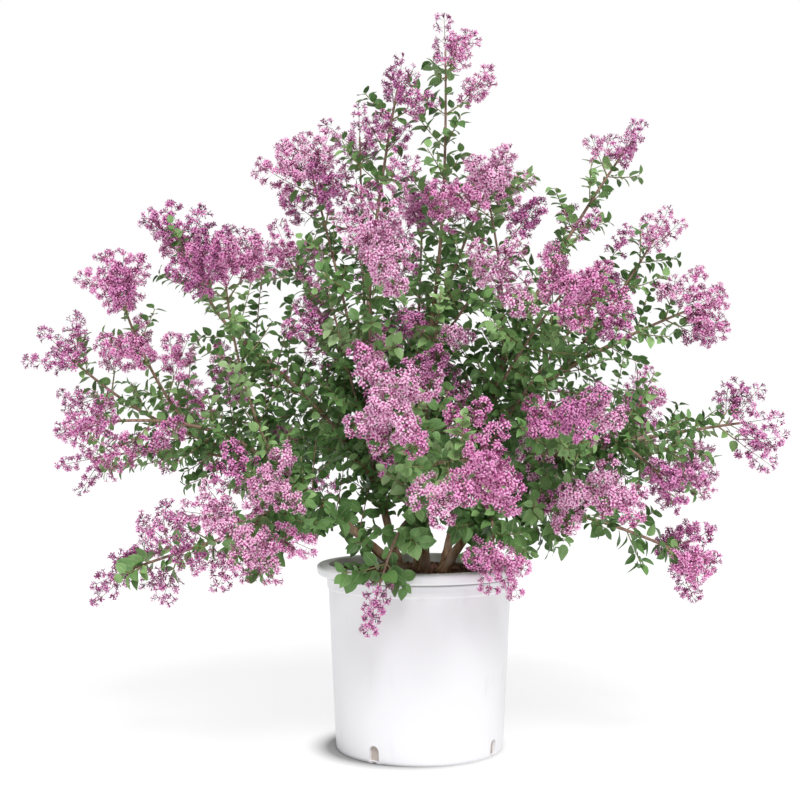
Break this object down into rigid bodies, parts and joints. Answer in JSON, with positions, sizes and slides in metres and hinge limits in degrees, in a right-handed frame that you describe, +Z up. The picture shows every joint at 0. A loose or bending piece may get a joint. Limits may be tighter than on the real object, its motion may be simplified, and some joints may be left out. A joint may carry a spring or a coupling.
{
  "type": "potted lilac bush",
  "caption": "Dwarf lilac in bloom: slender stems fan out of a round moulded nursery pot and carry loose masses of leaves and flower heads.",
  "frame": {"origin": "centre of the pot's flat underside", "axes": "+Z up through the pot's axis, -Y towards the bush's front, +X to its right as seen from the front"},
  "size_m": [1.0182, 0.8082, 0.9944],
  "materials": {
    "pot": "satin white moulded plastic",
    "soil": "crumbly, damp, with small chips of bark",
    "bark": "dull, fissured, with small pale pores",
    "leaves": "slightly shiny, veined",
    "blossom": "soft, matt"
  },
  "bodies": {
    "root": {"pot": "pot", "soil": "soil", "stem_leader": "bark", "stem_left_leader": "bark", "stem_left": "bark", "stem_right": "bark", "stem_right_leader": "bark", "stem_front": "bark", "stem_back": "bark", "bough_left_shoulder": "bark", "bough_far_left": "bark", "bough_low_left": "bark", "bough_low_right": "bark", "bough_far_right": "bark", "bough_right_shoulder": "bark", "bough_back_left": "bark", "bough_back_right": "bark", "mass_crest": "blossom", "mass_crest_left": "blossom", "mass_crest_right": "blossom", "mass_slender_left": "blossom", "mass_upper_left": "blossom", "mass_left_shoulder": "blossom", "mass_left_crown": "blossom", "mass_outer_left": "blossom", "mass_far_left": "blossom", "mass_left": "blossom", "mass_left_low": "blossom", "mass_skirt_left": "blossom", "mass_low_left": "blossom", "mass_front_left": "blossom", "mass_far_right": "blossom", "mass_right": "blossom", "mass_right_low": "blossom", "mass_skirt_right": "blossom", "mass_low_right": "blossom", "mass_right_shoulder": "blossom", "mass_right_peak": "blossom", "mass_upper_right": "blossom", "mass_right_crown": "blossom", "mass_front_crown": "blossom", "mass_front_upper_left": "blossom", "mass_front_upper_right": "blossom", "mass_front": "blossom", "mass_front_right": "blossom", "mass_front_low_right": "blossom", "mass_droop_left": "leaves", "mass_droop_right": "blossom", "mass_back_crown": "blossom", "mass_back": "blossom", "mass_back_low": "blossom", "mass_back_left_high": "blossom", "mass_back_right_high": "blossom", "mass_back_left": "blossom", "mass_back_right": "blossom", "mass_back_left_low": "blossom", "mass_back_right_low": "blossom", "mass_heart_left": "leaves", "mass_heart_right": "leaves", "mass_heart_front": "leaves"}
  },
  "joints": []
}
